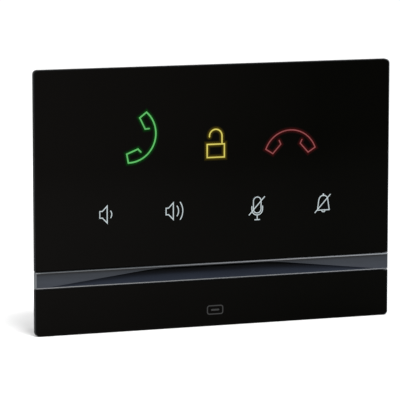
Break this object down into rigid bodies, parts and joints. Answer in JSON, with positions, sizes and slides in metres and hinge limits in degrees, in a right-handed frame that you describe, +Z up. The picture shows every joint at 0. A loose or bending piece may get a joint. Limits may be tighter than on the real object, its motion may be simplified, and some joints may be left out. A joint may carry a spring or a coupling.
{
  "type": "wall-mounted intercom answering unit",
  "caption": "Flat black glass indoor intercom unit with lit touch symbols, a smoked light strip with a sound scoop, a shallow housing and a steel wall plate it hangs on.",
  "frame": {"origin": "middle of the wall plate's rear face, on the wall, level with the middle of the glass front", "axes": "+X to the right seen from the room, +Y into the wall, +Z up; the glass front faces -Y"},
  "size_m": [0.17, 0.025, 0.119],
  "materials": {
    "black_glass": "polished, printed black on the back",
    "smoked_acrylic": "smoked, polished",
    "black_plastic": "fine spark-eroded grain",
    "foam_tape": "closed-cell foam",
    "electrode_film": "printed conductor on polyester film",
    "opal_film": "satin opal",
    "white_plastic": "moulded",
    "circuit_board": "solder mask over glass laminate",
    "led_package": "moulded resin",
    "clear_acrylic": "polished",
    "black_steel": "blackened",
    "paper_cone": "pressed pulp",
    "tin_plate": "tin-plated sheet",
    "rubber": "moulded",
    "ferrite": "sintered",
    "capacitor_sleeve": "shrink sleeve",
    "galvanised_steel": "zinc-plated, rolled",
    "grey_plastic": "moulded",
    "orange_plastic": "moulded"
  },
  "bodies": {
    "plate": {"wall_plate": "galvanised_steel"},
    "unit": {"upper_glass": "black_glass", "lower_glass": "black_glass", "light_strip": "smoked_acrylic", "front_frame": "black_plastic", "rear_cover": "black_plastic", "board_connector": "black_plastic", "audio_amplifier": "black_plastic", "reset_switch": "black_plastic", "upper_tape": "foam_tape", "lower_tape": "foam_tape", "speaker_gasket": "foam_tape", "touch_film": "electrode_film", "diffuser_sheet": "opal_film", "light_box": "white_plastic", "touch_board": "circuit_board", "strip_board_left": "circuit_board", "strip_board_right": "circuit_board", "main_board": "circuit_board", "led_answer": "led_package", "led_unlock": "led_package", "led_hang_up": "led_package", "led_quieter": "led_package", "led_louder": "led_package", "led_mute_microphone": "led_package", "led_mute_bell": "led_package", "strip_led_left_1": "led_package", "strip_led_left_2": "led_package", "strip_led_right_1": "led_package", "strip_led_right_2": "led_package", "strip_guide_left": "clear_acrylic", "strip_guide_right": "clear_acrylic", "speaker_basket": "black_steel", "cover_screw_1": "black_steel", "cover_screw_2": "black_steel", "cover_screw_3": "black_steel", "cover_screw_4": "black_steel", "speaker_magnet": "tin_plate", "shield_can": "tin_plate", "network_socket": "tin_plate", "microphone": "tin_plate", "microphone_boot": "rubber", "poe_transformer": "ferrite", "power_inductor": "ferrite", "capacitor_1": "capacitor_sleeve", "capacitor_2": "capacitor_sleeve", "board_screw_1": "galvanised_steel", "board_screw_2": "galvanised_steel", "board_screw_3": "galvanised_steel", "board_screw_4": "galvanised_steel", "terminal_block": "grey_plastic"},
    "cone": {"speaker_cone": "paper_cone"},
    "reset": {"reset_button": "grey_plastic"},
    "release_1": {"terminal_release_1": "orange_plastic"},
    "release_2": {"terminal_release_2": "orange_plastic"},
    "release_3": {"terminal_release_3": "orange_plastic"},
    "release_4": {"terminal_release_4": "orange_plastic"}
  },
  "joints": [
    {"name": "unit_lift", "type": "slide", "parent": "plate", "child": "unit", "axis": [0, 0, 1], "range_m": [0, 0.006]},
    {"name": "cone_travel", "type": "slide", "parent": "unit", "child": "cone", "axis": [0, -1, 0], "range_m": [-0.0005, 0.0005], "stiffness_N_per_m": 1500},
    {"name": "reset_press", "type": "slide", "parent": "unit", "child": "reset", "axis": [0, -1, 0], "range_m": [0, 0.0004], "stiffness_N_per_m": 1200},
    {"name": "release_1_press", "type": "slide", "parent": "unit", "child": "release_1", "axis": [0, -1, 0], "range_m": [0, 0.001], "stiffness_N_per_m": 1500},
    {"name": "release_2_press", "type": "slide", "parent": "unit", "child": "release_2", "axis": [0, -1, 0], "range_m": [0, 0.001], "stiffness_N_per_m": 1500},
    {"name": "release_3_press", "type": "slide", "parent": "unit", "child": "release_3", "axis": [0, -1, 0], "range_m": [0, 0.001], "stiffness_N_per_m": 1500},
    {"name": "release_4_press", "type": "slide", "parent": "unit", "child": "release_4", "axis": [0, -1, 0], "range_m": [0, 0.001], "stiffness_N_per_m": 1500}
  ]
}
